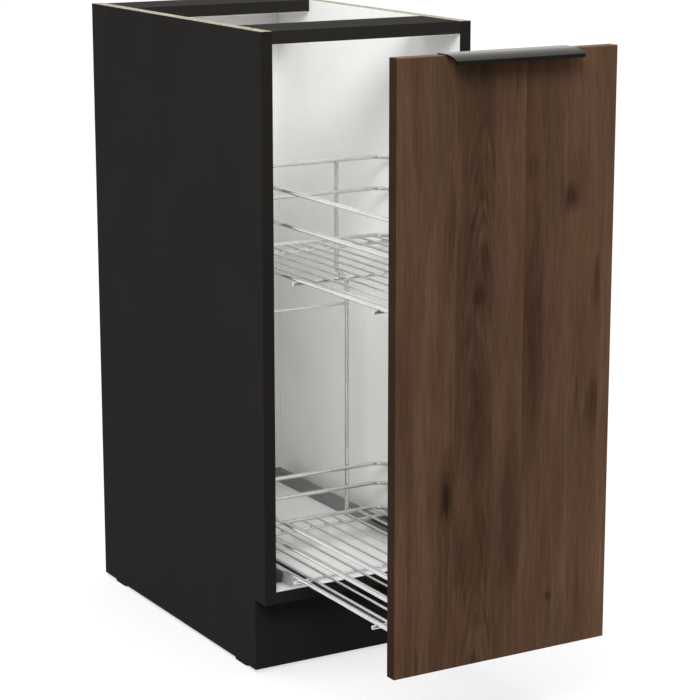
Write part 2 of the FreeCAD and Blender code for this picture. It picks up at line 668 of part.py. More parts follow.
basket("lower_basket", LOWER_RIM, "lower_middle", "lower_top")
basket("upper_basket", UPPER_RIM, "upper_middle", "upper_top")
for side, sign in SIDES:
    bar_start = f"{DOOR_BACK} + strip_thick"
    bar_length = f"{CARRIAGE_Y} + carriage_length / 2 - ({bar_start})"
    rod(f"{sign} * {BAR_X}", bar_start, BAR_Z, "bar_dia", bar_length, ALONG_Y, f"{side}_runner_bar")

# Rear frame: two legs that step inwards under the upper basket, tied by a bar
LEG_FOOT = f"({LOWER_RIM} - rim_dia / 2)"
LEG_TOP = f"({UPPER_RIM} + upper_top + rim_dia / 2)"
STEP_TOP = f"({UPPER_RIM} - leg_drop - {LEG_FOOT})"
STEP_LEAN = "(1 - cos(45)) * leg_bend"
STEP_RISE = "sin(45) * leg_bend"
STEP_FOOT = f"({STEP_TOP} - (leg_jog - 2 * {STEP_LEAN}) - 2 * {STEP_RISE})"


def leg(x, turn, name):
    """A bent rod: up, 45 degrees inwards, and up again, swept along its centre line."""
    body = doc.addObject("PartDesign::Body", "Body")
    ring = body.newObject("Sketcher::SketchObject", "Section")
    ring.AttachmentSupport = [(plane(body, "XY_Plane"), "")]
    ring.MapMode = "FlatFace"
    ring.addGeometry(Part.Circle(FreeCAD.Vector(), FreeCAD.Vector(0, 0, 1), value("leg_dia / 2")))
    ring.addConstraint(Sketcher.Constraint("Coincident", 0, 3, -1, 1))
    row = ring.addConstraint(Sketcher.Constraint("Diameter", 0, value("leg_dia")))
    ring.setExpression(f"Constraints[{row}]", ex("leg_dia"))
    knots = (
        ("0", "0"),
        ("0", STEP_FOOT),
        (f"-{STEP_LEAN}", f"{STEP_FOOT} + {STEP_RISE}"),
        (f"-(leg_jog - {STEP_LEAN})", f"{STEP_TOP} - {STEP_RISE}"),
        ("-leg_jog", STEP_TOP),
        ("-leg_jog", f"{LEG_TOP} - {LEG_FOOT}"),
    )
    spots = [FreeCAD.Vector(value(x), value(z), 0) for x, z in knots]
    radius = value("leg_bend")
    low_hub = spots[1] - FreeCAD.Vector(radius, 0, 0)
    high_hub = spots[4] + FreeCAD.Vector(radius, 0, 0)
    path = body.newObject("Sketcher::SketchObject", "Path")
    path.AttachmentSupport = [(plane(body, "XZ_Plane"), "")]
    path.MapMode = "FlatFace"
    for start in (0, 2, 4):
        line = path.addGeometry(Part.LineSegment(spots[start], spots[start + 1]))
        pin_point(path, line, 1, *knots[start])
        pin_point(path, line, 2, *knots[start + 1])
    up = FreeCAD.Vector(0, 0, 1)
    turns = ((low_hub, 0, 45, (0, 2), (1, 1)), (high_hub, 180, 225, (2, 1), (1, 2)))
    for hub, first, last, at_start, at_end in turns:
        ring_line = Part.Circle(hub, up, radius)
        bend = path.addGeometry(Part.ArcOfCircle(ring_line, math.radians(first), math.radians(last)))
        path.addConstraint(Sketcher.Constraint("Coincident", bend, 1, *at_start))
        path.addConstraint(Sketcher.Constraint("Coincident", bend, 2, *at_end))
        row = path.addConstraint(Sketcher.Constraint("Radius", bend, radius))
        path.setExpression(f"Constraints[{row}]", ex("leg_bend"))
    pipe = body.newObject("PartDesign::AdditivePipe", "Pipe")
    pipe.Profile = ring
    pipe.Spine = (path, [])
    made(place(body, x, LEG_Y, LEG_FOOT, turn), name)


for side, sign in SIDES:
    half_turn = FreeCAD.Rotation(FreeCAD.Vector(0, 0, 1), 180 if sign < 0 else 0)
    leg(f"{sign} * leg_spacing / 2", half_turn, f"{side}_rear_leg")
rod(
    "-leg_spacing / 2 + leg_dia / 2", LEG_Y, f"{LOWER_RIM} + tie_rise",
    "tie_dia", "leg_spacing - leg_dia", ALONG_X, "rear_tie_bar",
)

# Front strips that carry both baskets, and their screws
STRIP_LOW = f"({LOWER_RIM} - rim_dia / 2 - strip_margin)"
STRIP_HIGH = f"({LEG_TOP} + strip_margin)"
STRIP_BAY = f"({UPPER_RIM} - {LOWER_RIM} - lower_top) / 3"
STRIP_SCREW_SPOTS = (
    f"{LOWER_RIM} + lower_middle / 2",
    f"{LOWER_RIM} + lower_top + {STRIP_BAY}",
    f"{UPPER_RIM} - {STRIP_BAY}",
    f"{UPPER_RIM} + upper_middle / 2",
)
strip_screws = []
front_holes = []
for side, sign in SIDES:
    middle = f"{sign} * strip_spacing / 2"
    strip = box(
        f"{middle} - strip_width / 2", DOOR_BACK, STRIP_LOW,
        "strip_width", "strip_thick", f"{STRIP_HIGH} - {STRIP_LOW}",
    )
    holes = []
    for z in STRIP_SCREW_SPOTS:
        start = f"{DOOR_BACK} - strip_screw_bite"
        hole = "wood_screw + 2 * drill_play"
        holes.append(rod(middle, DOOR_BACK, z, hole, "strip_thick", ALONG_Y))
        front_holes.append(
            rod(middle, f"{start} - drill_play", z, hole, "strip_screw_bite + front_board", ALONG_Y)
        )
        strip_screws.append(
            fuse([
                rod(middle, start, z, "wood_screw", "strip_screw_bite + strip_thick", ALONG_Y),
                rod(
                    middle, f"{DOOR_BACK} + strip_thick", z,
                    "wood_screw_head", "wood_screw_rise", ALONG_Y,
                ),
            ])
        )
    cut(strip, holes, f"{side}_front_strip")
group(strip_screws, "front_strip_screws")

# Front with rounded face edges, and the sheet handle that hooks over its top edge
HANDLE_SCREW_SPOTS = (
    "-handle_length / 2 + handle_screw_inset",
    "0",
    "handle_length / 2 - handle_screw_inset",
)
HANDLE_SCREW_Z = f"({DOOR_TOP} - handle_screw_drop)"
handle_screws = []
leg_holes = []
for x in HANDLE_SCREW_SPOTS:
    start = f"{DOOR_BACK} - handle_screw_bite"
    hole = "handle_screw + 2 * drill_play"
    head = "handle_screw_head + 2 * drill_play"
    front_holes.append(
        rod(x, f"{start} - drill_play", HANDLE_SCREW_Z, hole, "handle_screw_bite + front_board", ALONG_Y)
    )
    leg_holes.append(cone(x, DOOR_BACK, HANDLE_SCREW_Z, hole, head, "handle_sheet", ALONG_Y))
    handle_screws.append(
        fuse([
            rod(x, start, HANDLE_SCREW_Z, "handle_screw", "handle_screw_bite", ALONG_Y),
            cone(
                x, DOOR_BACK, HANDLE_SCREW_Z,
                "handle_screw", "handle_screw_head", "handle_sheet", ALONG_Y,
            ),
        ])
    )
group(handle_screws, "handle_screws")

FRONT_OUTLINE = (
    (f"-{DOOR_X}", DOOR_LOW),
    (DOOR_X, DOOR_LOW),
    (DOOR_X, DOOR_TOP),
    (f"-{DOOR_X}", DOOR_TOP),
)
front = extrusion("XZ_Plane", FRONT_OUTLINE, "front_board", y=f"{DOOR_BACK} - front_board")
rounded(front, "front_round", lambda edge: abs(edge.CenterOfMass.y) < 0.01)
cut(front, front_holes, "front_panel")

# Handle section: a leg behind the front, a flat over its top edge, and an arched grip with a short nose
NOSE = "(-front_board - handle_reach)"
ARCH_HUB = "(handle_sheet - handle_curve)"
NOSE_TOP = f"({ARCH_HUB} + sqrt(handle_curve ^ 2 - handle_reach ^ 2))"
INNER_CURVE = "(handle_curve - handle_sheet)"
NOSE_INNER = f"({ARCH_HUB} + sqrt({INNER_CURVE} ^ 2 - (handle_reach - handle_sheet) ^ 2))"
HANDLE_OUTLINE = (
    ("0", "0"),
    ("0", "-handle_leg"),
    ("handle_sheet", "-handle_leg"),
    ("handle_sheet", "handle_sheet"),
    ("-front_board", "handle_sheet", "handle_curve", "-front_board", ARCH_HUB),
    (NOSE, NOSE_TOP),
    (NOSE, f"{NOSE_TOP} - handle_nose"),
    (f"{NOSE} + handle_sheet", f"{NOSE_TOP} - handle_nose"),
    (f"{NOSE} + handle_sheet", NOSE_INNER, INNER_CURVE, "-front_board", ARCH_HUB),
    ("-front_board", "0"),
)
handle = extrusion(
    "YZ_Plane", HANDLE_OUTLINE, "handle_length", x="-handle_length / 2", y=DOOR_BACK, z=DOOR_TOP
)


def bend_at(y, z):
    """A test for the long edge of the handle whose section passes through a point."""
    return lambda edge: math.hypot(edge.CenterOfMass.y - value(y), edge.CenterOfMass.z - value(z)) < 0.01


rounded(handle, "handle_bend", bend_at("handle_sheet", "handle_sheet"))
rounded(handle, "handle_nose_bend", bend_at(NOSE, NOSE_TOP))
cut(handle, leg_holes, "edge_handle")

bumpers = []
for _, sign in SIDES:
    for z in (f"{DOOR_TOP} - bumper_inset", f"{DOOR_LOW} + bumper_inset"):
        x = f"{sign} * (cab_width - board) / 2"
        bumpers.append(rod(x, DOOR_BACK, z, "bumper_dia", "closed_gap - bumper_play", ALONG_Y))
group(bumpers, "front_bumpers")

# Build everything, and write nothing unless every piece is sound
doc.recompute()
for obj in doc.Objects:
    if {"Invalid", "Error"} & set(obj.State):
        raise RuntimeError(f"{obj.Label} failed: {obj.State}")
for piece in pieces:
    if piece.Shape.isNull() or not piece.Shape.isValid():
        raise RuntimeError(f"{piece.Label} has no sound shape")
os.makedirs("parts", exist_ok=True)
for piece in pieces:
    piece.Shape.exportStep(f"parts/{piece.Label}.step")
print(len(pieces), "pieces written")
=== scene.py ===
"""Pull-out base cabinet: finishes, weld beads, cross-recess screws and a white studio for the model.

Lengths are metres in the model's frame: X across the cabinet, Y from the drawn front to the rear, Z up.
"""
import math

import bpy
import numpy as np
from bpy.props import FloatProperty, FloatVectorProperty, PointerProperty
from mathutils import Matrix, Vector


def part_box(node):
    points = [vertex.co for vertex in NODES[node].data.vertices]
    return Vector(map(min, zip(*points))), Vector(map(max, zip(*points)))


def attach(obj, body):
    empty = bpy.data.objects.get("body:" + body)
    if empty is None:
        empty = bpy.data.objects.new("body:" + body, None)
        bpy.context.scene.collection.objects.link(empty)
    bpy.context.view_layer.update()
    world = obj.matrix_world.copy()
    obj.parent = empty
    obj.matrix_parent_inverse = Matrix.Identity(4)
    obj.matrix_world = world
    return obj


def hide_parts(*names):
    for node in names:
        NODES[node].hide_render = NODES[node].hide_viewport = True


bl_info = {
    "name": "Pull-out base cabinet",
    "version": (1, 0, 0),
    "blender": (4, 5, 0),
    "location": "3D View > Sidebar > Cabinet",
    "description": "Finishes and small fittings of a pull-out base cabinet with wire baskets",
    "category": "Object",
}

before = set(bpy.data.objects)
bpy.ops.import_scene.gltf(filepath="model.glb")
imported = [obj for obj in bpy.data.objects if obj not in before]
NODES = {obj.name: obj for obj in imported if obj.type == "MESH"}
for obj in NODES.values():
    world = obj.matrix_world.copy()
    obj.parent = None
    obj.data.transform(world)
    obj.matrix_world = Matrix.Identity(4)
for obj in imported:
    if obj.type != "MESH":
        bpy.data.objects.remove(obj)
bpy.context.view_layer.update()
SIDES = ("left", "right")
BASKETS = ("lower", "upper")
RIM_LEVELS = ("bottom", "middle", "top")
# A point this near to a board's face belongs to that face
SKIN = 0.0002


# Settings


def colour_prop(name, text, rgb):
    """A colour in scene-linear values."""
    return FloatVectorProperty(name=name, description=text, default=rgb, min=0, max=1, subtype="COLOR")


def length_prop(name, text, metres):
    """A length in metres."""
    return FloatProperty(name=name, description=text, default=metres, min=0, precision=4, unit="LENGTH")


def place_prop(name, text, xyz):
    """A place in the model's frame."""
    return FloatVectorProperty(name=name, description=text, default=xyz, subtype="XYZ", unit="LENGTH")


def angle_prop(name, text, radians):
    """An angle."""
    return FloatProperty(name=name, description=text, default=radians, subtype="ANGLE")


def level_prop(name, text, value):
    """A level of light."""
    return FloatProperty(name=name, description=text, default=value, min=0)


class CabinetBoardFinish(bpy.types.PropertyGroup):
    """Colours of the carcass boards."""

    outside: colour_prop("Outside", "Anthracite melamine on the outer faces", (0.0212, 0.0196, 0.0186))
    edging: colour_prop("Edging", "Anthracite edge band on the front edges", (0.0180, 0.0163, 0.0147))
    rail: colour_prop("Rails", "Anthracite melamine on the top rails", (0.0234, 0.0212, 0.0191))
    # Rail tops: painted shade, the rails' anthracite darkened on their top faces against the light from
    # above
    rail_top_painted_shade: colour_prop("Rail tops", "Anthracite melamine on top of the rails", (0.0153, 0.0141, 0.0134))
    inside: colour_prop("Inside", "White melamine on the inner faces", (0.935, 0.935, 0.922))
    back: colour_prop("Back panel", "White melamine on the back panel", (0.870, 0.870, 0.857))
    # Bottom board: painted shade, the inner white darkened for the shade that lies on the cabinet's floor
    floor_board_painted_shade: colour_prop("Bottom board", "White melamine on the bottom board", (0.66, 0.66, 0.65))
    chip_pale: colour_prop("Chip, pale", "Pale chips of the raw board edge", (0.365, 0.335, 0.262))
    chip_dark: colour_prop("Chip, dark", "Dark chips of the raw board edge", (0.205, 0.183, 0.136))
    fibre_dark: colour_prop("Fibre, dark", "Dark fibres of the raw back panel", (0.30, 0.19, 0.105))
    fibre_pale: colour_prop("Fibre, pale", "Pale fibres of the raw back panel", (0.40, 0.27, 0.16))


class CabinetWoodFinish(bpy.types.PropertyGroup):
    """Colours of the wood-grain front."""

    light: colour_prop("Light band", "Light streaks of the grain", (0.150, 0.0855, 0.0525))
    middle: colour_prop("Middle", "Main colour of the grain", (0.0803, 0.0440, 0.0264))
    dark: colour_prop("Dark band", "Dark bands and knots", (0.0200, 0.0107, 0.0065))
    red: colour_prop("Warm tint", "Reddish bands", (0.0845, 0.0397, 0.0243))
    green: colour_prop("Cool tint", "Greenish brown bands", (0.0720, 0.0444, 0.0238))
    edge_line: colour_prop("Edge line", "Pale line of the edge band at the top", (0.112, 0.074, 0.051))
    edge_side: colour_prop("Side edges", "Dark edge band at the sides", (0.0290, 0.0150, 0.0080))


class CabinetMetalFinish(bpy.types.PropertyGroup):
    """Colours of the metal, plastic and small wooden fittings."""

    chrome: colour_prop("Chrome", "Chromed wire", (0.73, 0.73, 0.725))
    handle: colour_prop("Handle", "Dark anodised edge handle", (0.0350, 0.0350, 0.0326))
    bar: colour_prop("Runner bar", "Dark coated bar under the lower basket", (0.030, 0.030, 0.029))
    runner: colour_prop("Runner", "Powder coated runner rail", (0.245, 0.245, 0.239))
    zinc: colour_prop("Zinc", "Zinc plated screws, pins and carriages", (0.60, 0.60, 0.58))
    housing: colour_prop("Housing", "Light grey moulded roller housing", (0.54, 0.54, 0.535))
    nylon: colour_prop("Nylon", "Natural nylon rollers", (0.66, 0.65, 0.62))
    cap: colour_prop("Cap", "Dark moulded caps and glides", (0.0130, 0.0125, 0.0120))
    end_block: colour_prop("End block", "Dark grey block at a runner's end", (0.085, 0.085, 0.082))
    bumper: colour_prop("Bumper", "Soft clear dots behind the front", (0.55, 0.55, 0.54))
    beech: colour_prop("Beech", "Raw beech dowels", (0.60, 0.45, 0.28))


class CabinetFittings(bpy.types.PropertyGroup):
    """Sizes of the small fittings that are added to the model."""

    bead: length_prop("Weld bead", "Half width of a weld bead on a floor wire", 0.0021)
    bead_rise: length_prop("Weld bead rise", "Half height of a weld bead", 0.0009)
    strip_bead: length_prop("Strip bead", "Half width of a weld bead on a front strip", 0.0060)
    thread_pitch: length_prop("Thread pitch", "Pitch of the screw thread", 0.0018)
    thread_depth: length_prop("Thread depth", "Depth of the screw thread", 0.0004)
    recess_depth: length_prop("Recess depth", "Depth of the cross recess in a screw head", 0.0012)


class CabinetStage(bpy.types.PropertyGroup):
    """Camera and light of the studio."""

    camera: place_prop("Camera", "Where the camera stands", (-1.4784, -2.5504, 1.0814))
    yaw: angle_prop("Yaw", "Camera's turn from the Y axis", 0.53087)
    pitch: angle_prop("Pitch", "How far the camera looks down", 0.22796)
    lens: FloatProperty(name="Lens", description="Focal length", default=120.39, unit="CAMERA")
    sky: level_prop("Sky", "Strength of the even white light", 0.70)
    key: level_prop("Key", "Watts of the soft lamp above the front", 86.0)
    key_place: place_prop("Key place", "Where the soft lamp hangs", (-1.75, -2.3, 2.75))
    key_width: length_prop("Key width", "Width of the soft lamp", 1.6)
    overhead: level_prop("Overhead", "Strength of the even light from above", 2.6)
    overhead_place: place_prop("Overhead place", "Where the light from above stands", (0.0, 0.1, 5.0))
    overhead_spread: angle_prop("Overhead spread", "Angle of the light from above", math.radians(46.0))
    aim: place_prop("Aim", "Place that the lamps point at", (0.05, -0.05, 0.45))
    lift: level_prop("Floor lift", "White that the floor shows to the eye", 0.66)


class CabinetFinish(bpy.types.PropertyGroup):
    """All settings of the cabinet."""

    board: PointerProperty(name="Boards", description="Board colours", type=CabinetBoardFinish)
    wood: PointerProperty(name="Wood", description="Wood colours", type=CabinetWoodFinish)
    metal: PointerProperty(name="Fittings", description="Colours of fittings", type=CabinetMetalFinish)
    fitting: PointerProperty(name="Sizes", description="Sizes of small fittings", type=CabinetFittings)
    stage: PointerProperty(name="Studio", description="Camera and light", type=CabinetStage)


def settings():
    """The cabinet's settings in the open scene."""
    return bpy.context.scene.cabinet_finish


# Node trees


def rgba(value):
    """A socket as it is, or a colour with full opacity."""
    return value if isinstance(value, bpy.types.NodeSocket) else (*value, 1.0)


def shade(base, share):
    """A colour times a share."""
    return tuple(share * c for c in base)


class Finish:
    """One material's node tree, with short calls that take numbers, colours or other nodes' sockets."""

    def __init__(self, name):
        self.material = bpy.data.materials.new(name)
        self.material.use_nodes = True
        self.tree = self.material.node_tree
        self.shader = self.tree.nodes["Principled BSDF"]
        self.spot = self.add("ShaderNodeTexCoord").outputs["Object"]
        self.axes = self.add("ShaderNodeSeparateXYZ", self.spot).outputs

    def add(self, kind, *inputs, **options):
        """A node with its sockets filled in order; None leaves a socket as it is."""
        node = self.tree.nodes.new(kind)
        for key, value in options.items():
            setattr(node, key, value)
        for socket, value in zip(node.inputs, inputs):
            self.feed(socket, value)
        return node

    def feed(self, socket, value):
        """Links a socket, or sets its value."""
        if value is None:
            return
        if isinstance(value, bpy.types.NodeSocket):
            self.tree.links.new(value, socket)
        else:
            socket.default_value = value

    def maths(self, operation, a, b=None):
        """One sum on one or two values."""
        return self.add("ShaderNodeMath", a, b, operation=operation).outputs[0]

    def plus(self, first, *others):
        """All the values added up."""
        for other in others:
            first = self.maths("ADD", first, other)
        return first

    def times(self, first, *others):
        """All the values multiplied."""
        for other in others:
            first = self.maths("MULTIPLY", first, other)
        return first

    def ramp(self, value, low, high, start=0.0, end=1.0, smooth=True):
        """start to end as value goes from low to high, held outside."""
        node = self.add("ShaderNodeMapRange", value, low, high, start, end)
        node.interpolation_type = "SMOOTHSTEP" if smooth else "LINEAR"
        return node.outputs[0]

    def joined(self, x, y, z):
        """A place from its three coordinates."""
        return self.add("ShaderNodeCombineXYZ", x, y, z).outputs[0]

    def stretch(self, scale, vector=None, shift=(0, 0, 0)):
        """The place scaled along each axis, so that a pattern runs long or short there."""
        node = self.add("ShaderNodeMapping", self.spot if vector is None else vector, shift, None, scale)
        return node.outputs[0]

    def noise(self, vector, scale=1.0, detail=3.0, rough=0.55):
        """Soft random cloud from 0 to 1."""
        node = self.add("ShaderNodeTexNoise", vector)
        node.inputs["Scale"].default_value = scale
        node.inputs["Detail"].default_value = detail
        node.inputs["Roughness"].default_value = rough
        return node.outputs[0]

    def cells(self, vector):
        """A chip pattern: distance from the chip's middle, and one random value for each chip."""
        node = self.add("ShaderNodeTexVoronoi", vector)
        node.inputs["Scale"].default_value = 1.0
        grey = self.add("ShaderNodeSeparateColor", node.outputs["Color"])
        return node.outputs["Distance"], grey.outputs[0]

    def mix(self, factor, a, b):
        """Colour a where factor is 0 and b where it is 1."""
        node = self.add("ShaderNodeMix", data_type="RGBA")
        sockets = {s.identifier: s for s in node.inputs}
        self.feed(sockets["Factor_Float"], factor)
        self.feed(sockets["A_Color"], rgba(a))
        self.feed(sockets["B_Color"], rgba(b))
        return next(s for s in node.outputs if s.identifier == "Result_Color")

    def bump(self, height, strength, distance):
        """Relief from a height pattern."""
        node = self.add("ShaderNodeBump")
        node.inputs["Strength"].default_value = strength
        node.inputs["Distance"].default_value = distance
        self.feed(node.inputs["Height"], height)
        self.feed(self.shader.inputs["Normal"], node.outputs[0])

    def finish(self, base, rough, **constants):
        """Fills the shader: colour and roughness may be patterns, the rest are plain numbers."""
        self.feed(self.shader.inputs["Base Color"], rgba(base))
        self.feed(self.shader.inputs["Roughness"], rough)
        for key, value in constants.items():
            self.shader.inputs[key.replace("_", " ")].default_value = value
        return self.material


def put_on(material, *names):
    """Gives the named CAD nodes this material."""
    for name in names:
        mesh = NODES[name].data
        mesh.materials.clear()
        mesh.materials.append(material)


# Board finishes


def melamine(f, base):
    """Pressed board's colour with a faint cloud over it."""
    cloud = f.noise(f.spot, 9.0, 4.0)
    return f.mix(f.ramp(cloud, 0.3, 0.7), shade(base, 0.97), shade(base, 1.03))


def chips(f, pale, dark):
    """Raw chipboard edge: flat chips lying along the board, with dark gaps between them."""
    gap, chance = f.cells(f.stretch((420.0, 160.0, 420.0)))
    fine = f.noise(f.stretch((900.0, 300.0, 900.0)))
    tone = f.mix(f.ramp(chance, 0.0, 1.0), dark, pale)
    tone = f.mix(f.ramp(gap, 0.35, 0.75, 0.0, 0.45), tone, dark)
    return f.mix(f.ramp(fine, 0.35, 0.7, 0.0, 0.35), tone, pale)


def hardboard(f, pale, dark):
    """Raw hardboard: short fibres of two browns."""
    fibre = f.noise(f.stretch((160.0, 160.0, 160.0)), 1.0, 6.0, 0.7)
    return f.mix(f.ramp(fibre, 0.3, 0.7), dark, pale)


def pressed(f, tone):
    """Finishes a board in a colour, with fine pressed grain in the bump and the gloss."""
    fine = f.noise(f.spot, 1400.0, 2.0)
    f.bump(fine, 0.06, 0.0002)
    return f.finish(tone, f.ramp(fine, 0.3, 0.7, 0.52, 0.62), Specular_IOR_Level=0.006)


def on_low(f, axis, face):
    """1 on the low face that lies at this place on an axis and below it, 0 elsewhere."""
    return f.maths("LESS_THAN", f.axes[axis], face + SKIN)


def on_high(f, axis, face):
    """1 on the high face that lies at this place on an axis and above it, 0 elsewhere."""
    return f.maths("GREATER_THAN", f.axes[axis], face - SKIN)


class CABINET_OT_boards(bpy.types.Operator):
    """Dresses the carcass boards: anthracite outside, white inside, raw chipboard on unbanded edges"""

    bl_idname = "cabinet.boards"
    bl_label = "Carcass boards"

    def execute(self, context):
        finish = settings().board
        edging = finish.edging
        for side in SIDES:
            self.side_panel(finish, side)

        for node in ("front_top_rail", "rear_top_rail"):
            low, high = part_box(node)
            f = Finish(node.replace("_", " "))
            # The rails' top faces take a darker anthracite: painted shade against the light from above
            tone = f.mix(on_high(f, "Z", high.z), finish.rail, finish.rail_top_painted_shade)
            tone = f.mix(on_low(f, "Z", low.z), tone, melamine(f, finish.inside))
            put_on(pressed(f, tone), node)

        f = Finish("plinth board")
        rear = on_high(f, "Y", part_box("plinth_board")[1].y)
        put_on(pressed(f, f.mix(rear, edging, melamine(f, finish.inside))), "plinth_board")

        f = Finish("bottom panel")
        low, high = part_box("bottom_panel")
        faces = f.plus(on_high(f, "Z", high.z), on_low(f, "Z", low.z))
        raw = chips(f, finish.chip_pale, finish.chip_dark)
        # The bottom board's faces take the inner white darkened: painted shade on the cabinet's floor
        tone = f.mix(faces, raw, melamine(f, finish.floor_board_painted_shade))
        put_on(pressed(f, f.mix(on_low(f, "Y", low.y), tone, edging)), "bottom_panel")

        f = Finish("back panel")
        front = on_low(f, "Y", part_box("back_panel")[0].y)
        brown = hardboard(f, finish.fibre_pale, finish.fibre_dark)
        tone = f.mix(front, brown, melamine(f, finish.back))
        put_on(pressed(f, tone), "back_panel")
        return {"FINISHED"}

    def side_panel(self, finish, side):
        """One side panel: outer, inner, banded and raw faces, and the toe notch at its front foot."""
        node = f"{side}_side_panel"
        low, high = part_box(node)
        f = Finish(f"{side} side board")
        faces = (on_low(f, "X", low.x), on_high(f, "X", high.x))
        outer, inner = faces if side == "left" else faces[::-1]
        notch_rear = on_low(f, "Y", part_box("plinth_board")[0].y)
        notch_top = on_low(f, "Z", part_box("bottom_panel")[0].z)
        front = f.maths("MAXIMUM", on_low(f, "Y", low.y), f.times(notch_rear, notch_top))
        unbanded = f.maths("MAXIMUM", on_high(f, "Z", high.z), on_high(f, "Y", high.y))
        raw = chips(f, finish.chip_pale, finish.chip_dark)
        tone = f.mix(outer, raw, melamine(f, finish.outside))
        tone = f.mix(inner, tone, melamine(f, finish.inside))
        tone = f.mix(on_low(f, "Z", low.z), tone, finish.edging)
        tone = f.mix(front, tone, finish.edging)
        tone = f.mix(unbanded, tone, raw)
        put_on(pressed(f, tone), node)


# Wood front


GRAIN = {
    # repeats per metre across, through and along the board, detail, roughness, share of the tone
    "broad": ((15.0, 1.0, 1.6), 2.0, 0.55, 0.62),
    "bands": ((50.0, 1.0, 4.6), 2.0, 0.55, 0.42),
    "strips": ((150.0, 1.0, 11.0), 3.0, 0.55, 0.36),
    "hairs": ((460.0, 1.0, 28.0), 3.0, 0.62, 0.46),
}
# Repeats of the other patterns: sideways drift, ragged outlines, pores, pale lines, tints, arches
DRIFT = (9.0, 9.0, 3.4)
RAGGED = (190.0, 20.0, 30.0)
PORES = (1500.0, 1.0, 70.0)
PALE_LINES = (560.0, 1.0, 5.5)
TINTS = (24.0, 1.0, 3.6)
FIGURE = (36.0, 2.0, 1.0)
# How far the grain drifts sideways, half the blur of a plank's joint, the pattern's jump at a joint
DRIFT_REACH = 0.018
JOINT_BLUR = 0.0004
JOINT_JUMP = 3.7
# How ragged the outlines of knots, shades and arches are, in their half sizes
KNOT_RAGS = 1.7
SHADE_RAGS = 1.1
ARCH_RAGS = 0.2
# How far the grain bends aside at a knot, in the knot's half width, and the share of tone in its heart
KNOT_BEND = 0.6
KNOT_HEART = 0.45
# How strongly the strips show in a shade, and the height of an arch at its half width
SHADE_STREAKS = 2.2
ARCH_RISE = 0.125
PLANKS = (
    # joint across, tone added to the right of it
    (-0.0690, -0.04),
    (-0.0178, 0.09),
    (0.0231, 0.00),
    (0.1311, 0.02),
)
KNOTS = (
    # across, up, half width, half height, depth of tone
    (0.0893, 0.6443, 0.0056, 0.0100, 0.52),
    (-0.0374, 0.5425, 0.0050, 0.0074, 0.22),
    (-0.0811, 0.3039, 0.0038, 0.0170, 0.26),
    (0.0650, 0.1674, 0.0027, 0.0038, 0.36),
)
SHADES = (
    # across, up, half width, half height, tone added
    (0.0953, 0.6700, 0.0110, 0.0280, -0.13),
    (-0.0320, 0.5558, 0.0170, 0.0380, -0.09),
    (-0.0331, 0.7690, 0.0140, 0.0420, -0.10),
    (0.0324, 0.6858, 0.0070, 0.0140, -0.20),
    (-0.0584, 0.5500, 0.0130, 0.0700, -0.13),
    (0.0353, 0.4800, 0.0130, 0.1350, -0.24),
    (0.1250, 0.5392, 0.0070, 0.0300, -0.26),
    (-0.0764, 0.6206, 0.0040, 0.0480, -0.13),
    (-0.0458, 0.4087, 0.0300, 0.0850, -0.15),
    (0.1235, 0.3950, 0.0075, 0.0330, -0.24),
    (0.0109, 0.2754, 0.0135, 0.0800, -0.22),
    (-0.0458, 0.2438, 0.0260, 0.0520, -0.17),
    (-0.0790, 0.3250, 0.0120, 0.0420, -0.11),
    (0.0578, 0.2324, 0.0024, 0.0160, -0.20),
    (-0.1189, 0.1176, 0.0030, 0.0170, -0.22),
    (0.0120, 0.7860, 0.0012, 0.0220, -0.24),
    (-0.0330, 0.6900, 0.0300, 0.1300, -0.05),
    (-0.1000, 0.4300, 0.0220, 0.1500, 0.03),
    (0.1000, 0.7000, 0.0400, 0.1300, 0.04),
    # Painted light: lightens the foot of the front on this plank, where the lamps leave it darker
    (0.0950, 0.1200, 0.0600, 0.1500, 0.10),
    (0.0900, 0.4500, 0.0400, 0.1000, -0.06),
    # Painted light: lightens the foot of the front on this plank, where the lamps leave it darker
    (0.1400, 0.1300, 0.0200, 0.1200, 0.09),
    # Painted light: lightens the foot of the front on this plank, where the lamps leave it darker
    (-0.0950, 0.1300, 0.0300, 0.1200, 0.08),
)
ARCHES = (
    # across, up, half width, half height, strength
    (-0.0317, 0.6550, 0.0240, 0.0850, 0.95),
    (0.0982, 0.4048, 0.0170, 0.0450, 0.85),
    (-0.0331, 0.1500, 0.0280, 0.0800, 0.85),
    (-0.0400, 0.4000, 0.0300, 0.3000, 0.40),
)


